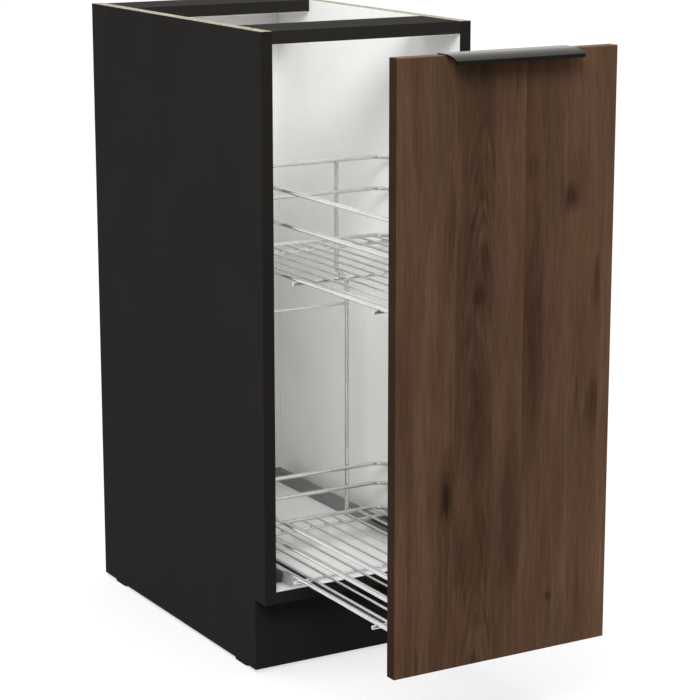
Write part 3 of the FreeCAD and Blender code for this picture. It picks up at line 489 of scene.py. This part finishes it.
class CABINET_OT_wood_front(bpy.types.Operator):
    """Dresses the front panel: planks of long grain that bends round knots, arched figure, fine pores"""

    bl_idname = "cabinet.wood_front"
    bl_label = "Wood front"

    def execute(self, context):
        finish = settings().wood
        f = Finish("wood grain front")
        x = f.axes["X"]
        z = f.axes["Z"]

        def from_middle(scale, vector=None, detail=2.0, rough=0.55, shift=(0, 0, 0)):
            """A stretched cloud, counted up and down from its middle value."""
            return f.plus(f.noise(f.stretch(scale, vector, shift), 1.0, detail, rough), -0.5)

        def away(across, px, pz, wide, high, rags):
            """How far across from a mark, and its squared distance, in its half sizes, both ragged."""
            dx = f.plus(f.maths("DIVIDE", f.plus(across, -px), wide), f.times(ragged, rags))
            dz = f.plus(f.maths("DIVIDE", f.plus(z, -pz), high), f.times(ragged, rags))
            return dx, f.plus(f.times(dx, dx), f.times(dz, dz))

        def on_plank(px):
            """1 on the plank that holds a place across, 0 on its neighbours."""
            inside = 1.0
            for (joint, _), step in zip(PLANKS, steps):
                inside = f.times(step if px > joint else f.plus(1.0, f.times(step, -1.0)), inside)
            return inside

        steps = [f.ramp(x, joint - JOINT_BLUR, joint + JOINT_BLUR) for joint, _ in PLANKS]
        drift = from_middle(DRIFT)
        ragged = from_middle(RAGGED, detail=3.0)

        # Lanes of grain, drifting sideways and bending round the knots
        across = f.plus(x, f.times(drift, DRIFT_REACH))
        core = 0.0
        for px, pz, wide, high, depth in KNOTS:
            dx, far = away(x, px, pz, wide, high, KNOT_RAGS)
            near = f.maths("DIVIDE", 1.0, f.plus(far, 1.0))
            across = f.plus(across, f.times(f.maths("SIGN", dx), near, -KNOT_BEND * wide))
            heart = f.ramp(far, 0.0, 2.4, KNOT_HEART * depth, 0.0)
            halo = f.ramp(far, 0.0, 7.0, (1.0 - KNOT_HEART) * depth, 0.0)
            core = f.maths("MAXIMUM", core, f.times(f.plus(heart, halo), on_plank(px)))
        layer = f.plus(f.axes["Y"], *(f.times(step, JOINT_JUMP) for step in steps))
        lane = f.joined(across, layer, z)

        # Tone from 0, dark, to 1, light
        grain = {}
        light = 0.5
        for name, (scale, detail, rough, share) in GRAIN.items():
            grain[name] = from_middle(scale, lane, detail, rough)
            light = f.plus(light, f.times(grain[name], share))
        for (_, tone_step), step in zip(PLANKS, steps):
            light = f.plus(light, f.times(step, tone_step))
        for px, pz, wide, high, depth in SHADES:
            _, far = away(across, px, pz, wide, high, SHADE_RAGS)
            mark = f.ramp(far, 0.0, 2.4, depth, 0.0)
            streaks = f.plus(1.0, f.times(grain["strips"], SHADE_STREAKS))
            light = f.plus(light, f.times(mark, streaks, on_plank(px)))
        for px, pz, wide, high, strength in ARCHES:
            dx, far = away(across, px, pz, wide, high, ARCH_RAGS)
            # The rings of an arch follow the height plus a steep curve of the distance across
            steep = f.maths("POWER", f.plus(f.times(dx, dx), 0.02), 0.68)
            level = f.plus(z, f.times(steep, ARCH_RISE), f.times(drift, 0.10), f.times(ragged, 0.006))
            figure = from_middle(FIGURE, f.joined(level, dx, 0.0), 1.0)
            light = f.plus(light, f.times(figure, f.ramp(far, 0.1, 1.7, strength, 0.0), on_plank(px)))
        pores = f.noise(f.stretch(PORES, lane), 1.0, 2.0, 0.5)
        light = f.plus(light, f.times(core, -1.0), f.ramp(pores, 0.60, 0.70, 0.0, -0.10))
        pale = f.noise(f.stretch(PALE_LINES, lane, (1.3, 0.0, 0.4)), 1.0, 1.0, 0.5)
        light = f.plus(light, f.ramp(pale, 0.66, 0.76, 0.0, 0.20))

        # Colour by tone, warm and cool tints, edge bands
        tint = from_middle(TINTS, lane, shift=(3.1, 0.0, 1.7))
        tone = f.mix(f.ramp(light, 0.0, 0.5, smooth=False), finish.dark, finish.middle)
        tone = f.mix(f.ramp(light, 0.5, 1.0, smooth=False), tone, finish.light)
        tone = f.mix(f.ramp(tint, 0.02, 0.16, 0.0, 0.30), tone, finish.red)
        tone = f.mix(f.ramp(tint, -0.02, -0.16, 0.0, 0.30), tone, finish.green)
        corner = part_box("front_panel")[1]
        tone = f.mix(on_high(f, "Z", corner.z), tone, finish.edge_line)
        ends = f.maths("GREATER_THAN", f.maths("ABSOLUTE", x), corner.x - SKIN)
        tone = f.mix(f.times(ends, 0.86), tone, finish.edge_side)
        f.bump(f.plus(f.times(grain["hairs"], 0.6), f.times(pores, -0.4)), 0.16, 0.0004)
        gloss = f.ramp(grain["hairs"], -0.2, 0.2, 0.64, 0.54)
        put_on(f.finish(tone, gloss, Specular_IOR_Level=0.010), "front_panel")
        return {"FINISHED"}


# Metal and plastic finishes


def lined(name, base, rough, run, spread, band=None, **constants):
    """Metal, coating or raw wood with fine lines: run is their repeats per metre on each axis, spread is
    how far the gloss varies. A band (axis, start, end, share) darkens the colour to that share of itself
    from start to end: painted shade."""
    f = Finish(name)
    lines = f.noise(f.stretch(run), rough=0.6)
    cloud = f.noise(f.spot, 22.0)
    pattern = f.plus(f.times(lines, 0.5), f.times(cloud, 0.5))
    tone = f.mix(f.ramp(pattern, 0.35, 0.65), shade(base, 0.82), base)
    if band is not None:
        axis, start, end, share = band
        tone = f.mix(f.ramp(f.axes[axis], start, end), tone, shade(base, share))
    f.bump(lines, 0.05, 0.0001)
    return f.finish(tone, f.ramp(lines, 0.3, 0.7, rough - spread, rough + spread), **constants)


def moulded(name, base, rough, gloss=0.35):
    """Moulded plastic: fine spark-eroded grain in the bump, a faint cloud in the colour."""
    f = Finish(name)
    grain = f.noise(f.spot, 2600.0, 2.0)
    cloud = f.noise(f.spot, 60.0)
    tone = f.mix(f.ramp(cloud, 0.35, 0.65), shade(base, 0.86), base)
    f.bump(grain, 0.10, 0.0002)
    return f.finish(tone, f.ramp(grain, 0.3, 0.7, rough - 0.05, rough + 0.05), Specular_IOR_Level=gloss)


class CABINET_OT_fittings(bpy.types.Operator):
    """Dresses the wire work, handle, runners, rollers, caps and glides"""

    bl_idname = "cabinet.fittings"
    bl_label = "Fittings"

    def execute(self, context):
        finish = settings().metal
        chrome = lined("chrome wire", finish.chrome, 0.14, (300, 300, 300), 0.04, Metallic=0.76)
        for basket in BASKETS:
            put_on(chrome, *(f"{basket}_basket_{level}_rim" for level in RIM_LEVELS))
            put_on(chrome, f"{basket}_basket_floor_wires", f"{basket}_basket_cross_wires")
        for side in SIDES:
            put_on(chrome, f"{side}_rear_leg", f"{side}_front_strip")
        put_on(chrome, "rear_tie_bar")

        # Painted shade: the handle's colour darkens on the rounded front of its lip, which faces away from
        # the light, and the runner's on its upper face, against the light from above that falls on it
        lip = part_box("edge_handle")[0].y
        nose_painted_shade = ("Y", lip + 0.0016, lip + 0.0004, 0.35)
        handle = lined(
            "dark anodised handle", finish.handle, 0.22, (12, 2200, 2200), 0.04, nose_painted_shade,
            Metallic=1.0, Specular_Tint=(1.0, 0.985, 0.94, 1.0),
        )
        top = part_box("left_runner_rail")[1].z
        # Painted shade on the runner's upper face: its colour fades to 0.58 of itself there
        flange_painted_shade = ("Z", top - 0.0012, top - 0.0006, 0.58)
        runner = lined(
            "grey coated runner", finish.runner, 0.52, (900, 900, 900), 0.05, flange_painted_shade,
            Metallic=0.0, Specular_IOR_Level=0.3,
        )
        bar = lined(
            "dark coated bar", finish.bar, 0.42, (900, 40, 900), 0.05,
            Metallic=0.0, Specular_IOR_Level=0.2,
        )
        zinc = lined("zinc plate", finish.zinc, 0.34, (700, 700, 700), 0.08, Metallic=1.0)
        beech = lined("raw beech", finish.beech, 0.7, (40, 900, 900), 0.05, Metallic=0.0)
        housing = moulded("light grey housing", finish.housing, 0.45)
        nylon = moulded("natural nylon", finish.nylon, 0.40)
        cap = moulded("dark moulding", finish.cap, 0.6, 0.06)
        for side in SIDES:
            put_on(runner, f"{side}_runner_rail")
            put_on(bar, f"{side}_runner_bar")
            put_on(zinc, f"{side}_rear_carriage")
            put_on(housing, f"{side}_roller_housing")
            put_on(nylon, f"{side}_front_roller", f"{side}_rear_roller")
        put_on(handle, "edge_handle")
        put_on(zinc, "carcass_screws", "front_roller_pins", "rear_roller_pins")
        put_on(beech, "plinth_dowels")
        put_on(cap, "screw_caps", "floor_glides")
        put_on(moulded("dark grey end block", finish.end_block, 0.5, 0.2), "runner_end_caps")
        put_on(moulded("soft clear dots", finish.bumper, 0.35), "front_bumpers")
        return {"FINISHED"}


# Small pieces made from grids


# Points of one node that lie further apart than this along an axis belong to different wires
WIRE_GAP = 0.004
# Points of one screw lie within this reach of its first point on every axis
SCREW_REACH = 0.0312
# Turn of the first screw's recess, and how much further each next one is turned
FIRST_TURN = 0.7
NEXT_TURN = 1.9
SCREWS = (
    # node, axis along the screw, body that it rides on, height of the head
    ("runner_screws", 2, "carcass", 0.0020),
    ("housing_screws", 2, "carcass", 0.0020),
    ("front_strip_screws", 1, "pull_out", 0.0020),
    ("handle_screws", 1, "pull_out", 0.0016),
)


def points_of(node):
    """The points of a CAD node, one in each row."""
    mesh = NODES[node].data
    points = np.empty(len(mesh.vertices) * 3)
    mesh.vertices.foreach_get("co", points)
    return points.reshape(-1, 3)


def wires(node, axis):
    """Low and high corners of each parallel wire in a node, split at the gaps between its points."""
    points = points_of(node)
    points = points[points[:, axis].argsort()]
    cuts = np.flatnonzero(np.diff(points[:, axis]) > WIRE_GAP) + 1
    return [(p.min(axis=0), p.max(axis=0)) for p in np.split(points, cuts)]


def apart(node):
    """Low and high corners of each screw in a node: the points near the first one that is left."""
    points = points_of(node)
    corners = []
    while len(points):
        longest = np.ptp(points, axis=0).argmax()
        seed = points[points[:, longest].argmin()]
        near = np.abs(points - seed).max(axis=1) < SCREW_REACH
        corners.append((points[near].min(axis=0), points[near].max(axis=0)))
        points = points[~near]
    return corners


def grid_mesh(name, rings, tail, tip):
    """One mesh from like surfaces: rings (n, rows, columns, 3) close round their columns, and fans to
    the points tail and tip (n, 3) close the first and last row. Faces are turned outwards by the sign of
    the enclosed volume."""
    n, rows, columns, _ = rings.shape
    each = rows * columns + 2
    points = np.concatenate([rings.reshape(n, -1, 3), tail[:, None], tip[:, None]], axis=1)
    points = points.reshape(-1, 3)
    here = np.arange(columns)
    beside = (here + 1) % columns
    row = np.arange(rows - 1)[:, None] * columns
    quads = np.stack([row + here, row + beside, row + columns + beside, row + columns + here], -1)
    last_row = (rows - 1) * columns
    tail_fan = np.stack([np.full(columns, each - 2), beside, here], -1)
    tip_fan = np.stack([np.full(columns, each - 1), last_row + here, last_row + beside], -1)
    shift = (np.arange(n) * each)[:, None, None]
    quads = (quads.reshape(1, -1, 4) + shift).reshape(-1, 4)
    fans = (np.concatenate([tail_fan, tip_fan])[None] + shift).reshape(-1, 3)
    a, b, c = points[np.concatenate([fans, quads[:, :3], quads[:, [0, 2, 3]]])].transpose(1, 0, 2)
    if np.sum(a * np.cross(b, c)) < 0:
        quads = quads[:, ::-1]
        fans = fans[:, ::-1]
    mesh = bpy.data.meshes.new(name)
    mesh.from_pydata(points.tolist(), [], quads.tolist() + fans.tolist())
    mesh.polygons.foreach_set("use_smooth", np.ones(len(mesh.polygons), bool))
    mesh.validate()
    piece = bpy.data.objects.new(name, mesh)
    bpy.context.scene.collection.objects.link(piece)
    return piece


def beads(name, centres, halves):
    """Weld beads: an ellipsoid, centre + half sizes times (sin u cos v, sin u sin v, cos u), a little
    pinched at its waist, for each centre and its own half sizes."""
    rows = 5
    columns = 10
    pinch = 0.10
    u = np.linspace(0.0, np.pi, rows + 2)[1:-1, None]
    v = np.linspace(0.0, 2.0 * np.pi, columns, endpoint=False)[None]
    around = np.sin(u) * (1.0 + pinch * np.cos(2.0 * v) * np.sin(u))
    unit = np.stack([around * np.cos(v), around * np.sin(v), np.cos(u) + 0.0 * v], -1)
    centres = np.array(centres)
    halves = np.array(halves)
    rings = centres[:, None, None] + unit[None] * halves[:, None, None]
    pole = halves * np.array([0.0, 0.0, 1.0])
    return grid_mesh(name, rings, centres + pole, centres - pole)


class CABINET_OT_weld_beads(bpy.types.Operator):
    """Adds the weld beads where the basket wires, legs, strips and runner bars meet"""

    bl_idname = "cabinet.weld_beads"
    bl_label = "Weld beads"

    def execute(self, context):
        size = settings().fitting
        wide = size.bead
        rise = size.bead_rise
        strips = [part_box(f"{side}_front_strip") for side in SIDES]
        bars = [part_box(f"{side}_runner_bar") for side in SIDES]
        leg_low, leg_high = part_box("right_rear_leg")
        leg_half = (leg_high.y - leg_low.y) / 2
        leg_x = {"lower": leg_high.x - leg_half, "upper": leg_low.x + leg_half}
        for basket in BASKETS:
            floor = wires(f"{basket}_basket_floor_wires", 0)
            cross = wires(f"{basket}_basket_cross_wires", 1)
            cross_y = [(low[1] + high[1]) / 2 for low, high in cross]
            under, top = (corner.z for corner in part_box(f"{basket}_basket_cross_wires"))
            rims = [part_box(f"{basket}_basket_{level}_rim") for level in RIM_LEVELS]
            rim_z = [(low.z + high.z) / 2 for low, high in rims]
            rim_low, rim_high = rims[0]
            rim_x = rim_high.x - (rim_high.z - rim_low.z) / 2
            middles = [(low + high) / 2 for low, high in floor]
            tips = [(m[0], y, m[2]) for m, wire in zip(middles, floor) for y in (wire[0][1], wire[1][1])]
            crossings = [(m[0], y, top) for y in cross_y for m in middles]
            rests = [(side * rim_x, y, top) for side in (-1, 1) for y in cross_y]
            joins = [((low.x + high.x) / 2, high.y, z) for low, high in strips for z in rim_z]
            legs = [(side * leg_x[basket], rim_high.y, z) for side in (-1, 1) for z in rim_z]
            # Places of like beads, with their half sizes across, along and up
            groups = [
                (crossings, (wide, 1.05 * wide, rise)),
                (tips, (wide, 0.6 * wide, 0.9 * wide)),
                (rests, (1.35 * wide, 1.35 * wide, 1.3 * rise)),
                (joins, (size.strip_bead, 1.2 * rise, wide)),
                (legs, (wide, 1.2 * rise, wide)),
            ]
            if basket == "lower":
                seats = [((low.x + high.x) / 2, y, under) for low, high in bars for y in cross_y]
                groups.append((seats, (1.3 * wide, 1.3 * wide, 1.3 * rise)))
            centres = [place for places, _ in groups for place in places]
            halves = [half for places, half in groups for _ in places]
            piece = beads(f"{basket}_basket_weld_beads", centres, halves)
            piece.data.materials.append(bpy.data.materials["chrome wire"])
            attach(piece, "pull_out")
        return {"FINISHED"}


def screw_rings(total, head, rise, shank, pitch, depth, recess):
    """A pan-head screw along +Z with its tip at 0. The thread is the radius
    shank - depth + depth * ridge(height / pitch - turn), drawn to a point at the tip, and the head is a
    dome with two crossed grooves sunk into it. Gives its rings, foot and crown."""
    columns = 48
    thread_rows = 110
    head_rows = 26
    neck_gap = 0.0004
    sharpness = 3.2
    point = 2.2 * shank
    seat = 0.90 * head
    arm = 0.58 * head
    slot = 0.13 * head
    neck = total - rise
    angle = np.linspace(0.0, 2.0 * np.pi, columns, endpoint=False)[None]
    z = np.linspace(0.0, neck - neck_gap, thread_rows)[:, None] + 0.0 * angle
    turn = z / pitch - angle / (2.0 * np.pi)
    ridge = np.clip(1.0 - sharpness * np.abs(turn - np.floor(turn) - 0.5), 0.0, 1.0)
    taper = np.clip(z / point, 0.04, 1.0)
    body = (shank - depth + depth * ridge) * taper
    threaded = np.stack([body * np.cos(angle), body * np.sin(angle), z], -1)
    under = np.stack([seat * np.cos(angle), seat * np.sin(angle), neck + 0.0 * angle], -1)
    radius = head * np.linspace(1.0, 0.04, head_rows)[:, None] + 0.0 * angle
    dome = neck + rise * (0.35 + 0.65 * np.sqrt(1.0 - 0.92 * (radius / head) ** 2))
    x = radius * np.cos(angle)
    y = radius * np.sin(angle)

    def groove(along, aside):
        """1 along one arm of the recess, falling to 0 at its walls and ends."""
        wall = np.clip((slot - np.abs(aside)) / (0.5 * slot), 0.0, 1.0)
        end = np.clip((arm - np.abs(along)) / (0.35 * arm), 0.0, 1.0)
        return wall * end

    sunk = recess * np.maximum(groove(x, y), groove(y, x))
    top = np.stack([x, y, dome - sunk], -1)
    rings = np.concatenate([threaded, under, top])
    return rings, np.zeros(3), np.array([0.0, 0.0, top[-1, :, 2].mean()])


class CABINET_OT_screws(bpy.types.Operator):
    """Replaces the plain screws with threaded pan-head ones that have a cross recess"""

    bl_idname = "cabinet.screws"
    bl_label = "Screws"

    def execute(self, context):
        size = settings().fitting
        zinc = bpy.data.materials["zinc plate"]
        for node, axis, body, rise in SCREWS:
            all_rings = []
            tails = []
            crowns = []
            for k, (low, high) in enumerate(apart(node)):
                total = high[axis] - low[axis]
                head = (high[0] - low[0]) / 2
                rings, tail, crown = screw_rings(
                    total, head, rise, head / 2, size.thread_pitch, size.thread_depth, size.recess_depth
                )
                turn = np.array(Matrix.Rotation(FIRST_TURN + NEXT_TURN * k, 3, "Z"))
                if axis == 1:
                    turn = np.array(Matrix.Rotation(-math.pi / 2, 3, "X")) @ turn
                foot = (low + high) / 2
                foot[axis] = low[axis]
                all_rings.append(rings @ turn.T + foot)
                tails.append(turn @ tail + foot)
                crowns.append(turn @ crown + foot)
            shape = (np.array(all_rings), np.array(tails), np.array(crowns))
            piece = grid_mesh(f"cross_recess_{node}", *shape)
            piece.data.materials.append(zinc)
            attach(piece, body)
            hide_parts(node)
        return {"FINISHED"}


# Studio


# Half the floor's side, its two greys, how far the camera sees and its sensor in millimetres
FLOOR_HALF = 40.0
FLOOR_GREYS = ((0.245, 0.245, 0.245), (0.255, 0.255, 0.255))
SIGHT = 200.0
SENSOR = 36.0


def seen(tree):
    """1 on a ray that leads to the eye, straight, by reflection or through glass, 0 on other rays."""
    paths = tree.nodes.new("ShaderNodeLightPath").outputs
    ray = paths["Is Camera Ray"]
    for name in ("Is Glossy Ray", "Is Transmission Ray"):
        either = tree.nodes.new("ShaderNodeMath")
        either.operation = "MAXIMUM"
        tree.links.new(ray, either.inputs[0])
        tree.links.new(paths[name], either.inputs[1])
        ray = either.outputs[0]
    return ray


def look(obj, ahead):
    """Turns a lamp or the camera to look along a direction."""
    obj.rotation_euler = ahead.to_track_quat("-Z", "Y").to_euler()


class CABINET_OT_studio(bpy.types.Operator):
    """Sets up the white floor, the soft light and the camera"""

    bl_idname = "cabinet.studio"
    bl_label = "Studio"

    def execute(self, context):
        stage = settings().stage
        scene = bpy.context.scene
        scene.view_settings.view_transform = "Standard"
        self.sky(scene, stage)
        self.floor(scene, stage)
        self.lamps(scene, stage)
        self.camera(scene, stage)
        return {"FINISHED"}

    def sky(self, scene, stage):
        """An even white light that looks plain white to the eye."""
        scene.world = bpy.data.worlds.new("white studio")
        scene.world.use_nodes = True
        tree = scene.world.node_tree
        tree.nodes.clear()
        strength = tree.nodes.new("ShaderNodeMapRange")
        strength.inputs["To Min"].default_value = stage.sky
        strength.inputs["To Max"].default_value = 1.0
        tree.links.new(seen(tree), strength.inputs["Value"])
        background = tree.nodes.new("ShaderNodeBackground")
        background.inputs["Color"].default_value = (1.0, 1.0, 1.0, 1.0)
        tree.links.new(strength.outputs[0], background.inputs["Strength"])
        out = tree.nodes.new("ShaderNodeOutputWorld")
        tree.links.new(background.outputs[0], out.inputs["Surface"])

    def floor(self, scene, stage):
        """A wide floor that looks white to the eye, apart from the shadow on it."""
        mesh = bpy.data.meshes.new("floor")
        corners = [(-1, -1), (1, -1), (1, 1), (-1, 1)]
        mesh.from_pydata([(FLOOR_HALF * x, FLOOR_HALF * y, 0.0) for x, y in corners], [], [(0, 1, 2, 3)])
        floor = bpy.data.objects.new("floor", mesh)
        scene.collection.objects.link(floor)
        f = Finish("white floor")
        tone = f.mix(f.noise(f.spot, 3.0, 2.0), *FLOOR_GREYS)
        f.finish(tone, 0.9, Specular_IOR_Level=0.0, Emission_Color=(1.0, 1.0, 1.0, 1.0))
        f.feed(f.shader.inputs["Emission Strength"], f.times(seen(f.tree), stage.lift))
        mesh.materials.append(f.material)

    def lamps(self, scene, stage):
        """A wide soft lamp above the front, and even light from above."""
        key = bpy.data.lights.new("soft key", "AREA")
        key.shape = "DISK"
        key.size = stage.key_width
        key.energy = stage.key
        overhead = bpy.data.lights.new("soft overhead", "SUN")
        overhead.angle = stage.overhead_spread
        overhead.energy = stage.overhead
        for lamp, place in ((key, stage.key_place), (overhead, stage.overhead_place)):
            light = bpy.data.objects.new(lamp.name, lamp)
            light.location = place
            light.visible_glossy = False
            look(light, Vector(stage.aim) - light.location)
            scene.collection.objects.link(light)

    def camera(self, scene, stage):
        """The camera, turned by yaw from the Y axis and by pitch down."""
        data = bpy.data.cameras.new("camera")
        data.sensor_width = SENSOR
        data.lens = stage.lens
        data.clip_end = SIGHT
        camera = bpy.data.objects.new("camera", data)
        camera.location = stage.camera
        level = math.cos(stage.pitch)
        look(camera, Vector((
            level * math.sin(stage.yaw),
            level * math.cos(stage.yaw),
            -math.sin(stage.pitch),
        )))
        scene.collection.objects.link(camera)
        scene.camera = camera


STEPS = (
    CABINET_OT_boards,
    CABINET_OT_wood_front,
    CABINET_OT_fittings,
    CABINET_OT_weld_beads,
    CABINET_OT_screws,
    CABINET_OT_studio,
)


class CABINET_PT_panel(bpy.types.Panel):
    """Lists the steps that dress the cabinet"""

    bl_idname = "CABINET_PT_panel"
    bl_label = "Pull-out base cabinet"
    bl_space_type = "VIEW_3D"
    bl_region_type = "UI"
    bl_category = "Cabinet"

    def draw(self, context):
        """One button for each step."""
        for step in STEPS:
            self.layout.operator(step.bl_idname)


CLASSES = (
    CabinetBoardFinish,
    CabinetWoodFinish,
    CabinetMetalFinish,
    CabinetFittings,
    CabinetStage,
    CabinetFinish,
    *STEPS,
    CABINET_PT_panel,
)


def register():
    """Registers the classes and the scene's settings."""
    for cls in CLASSES:
        bpy.utils.register_class(cls)
    bpy.types.Scene.cabinet_finish = PointerProperty(
        name="Cabinet", description="Finishes, sizes and studio of the cabinet", type=CabinetFinish
    )


def unregister():
    """Removes the scene's settings and the classes."""
    del bpy.types.Scene.cabinet_finish
    for cls in reversed(CLASSES):
        bpy.utils.unregister_class(cls)


def main():
    """Runs every step in order."""
    register()
    bpy.ops.cabinet.boards()
    bpy.ops.cabinet.wood_front()
    bpy.ops.cabinet.fittings()
    bpy.ops.cabinet.weld_beads()
    bpy.ops.cabinet.screws()
    bpy.ops.cabinet.studio()


if __name__ == "__main__":
    main()
